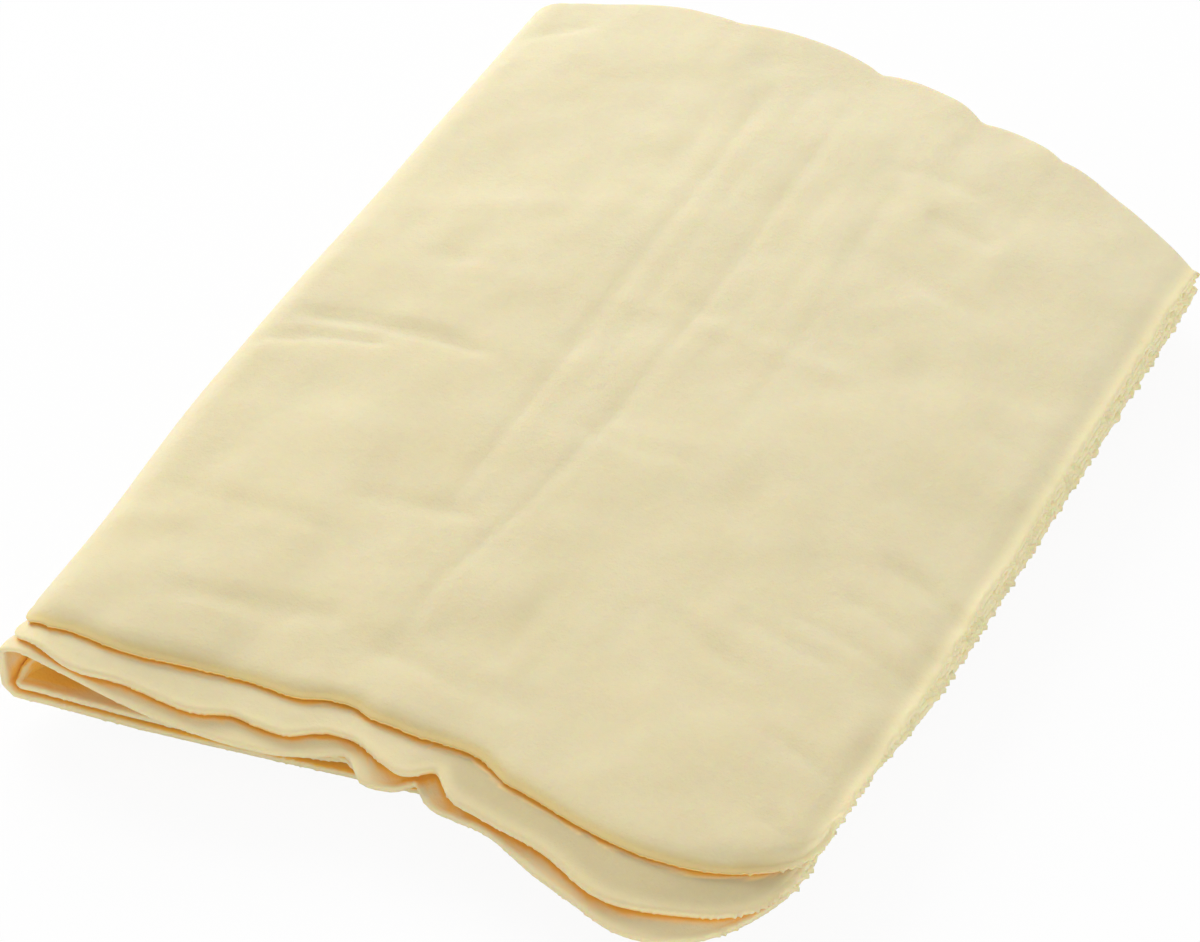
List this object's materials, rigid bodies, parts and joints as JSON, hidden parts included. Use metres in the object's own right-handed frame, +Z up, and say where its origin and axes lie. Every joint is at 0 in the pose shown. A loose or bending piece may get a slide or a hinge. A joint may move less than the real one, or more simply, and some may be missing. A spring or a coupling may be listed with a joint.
{
  "type": "synthetic chamois cloth",
  "caption": "Thick rounded-corner drying cloth folded in half three times into a flat stack, its last fold open as a low loop at the front.",
  "frame": {"origin": "centre of the bounding box on the flat underside", "axes": "+X from the last fold towards the cut ends, +Y towards the first fold, +Z up off the surface that the cloth lies on"},
  "size_m": [0.1662, 0.2296, 0.0246],
  "materials": {
    "chamois": "matte suede-like synthetic chamois, pale cream"
  },
  "bodies": {
    "root": {"chamois_sheet": "chamois"}
  },
  "joints": []
}
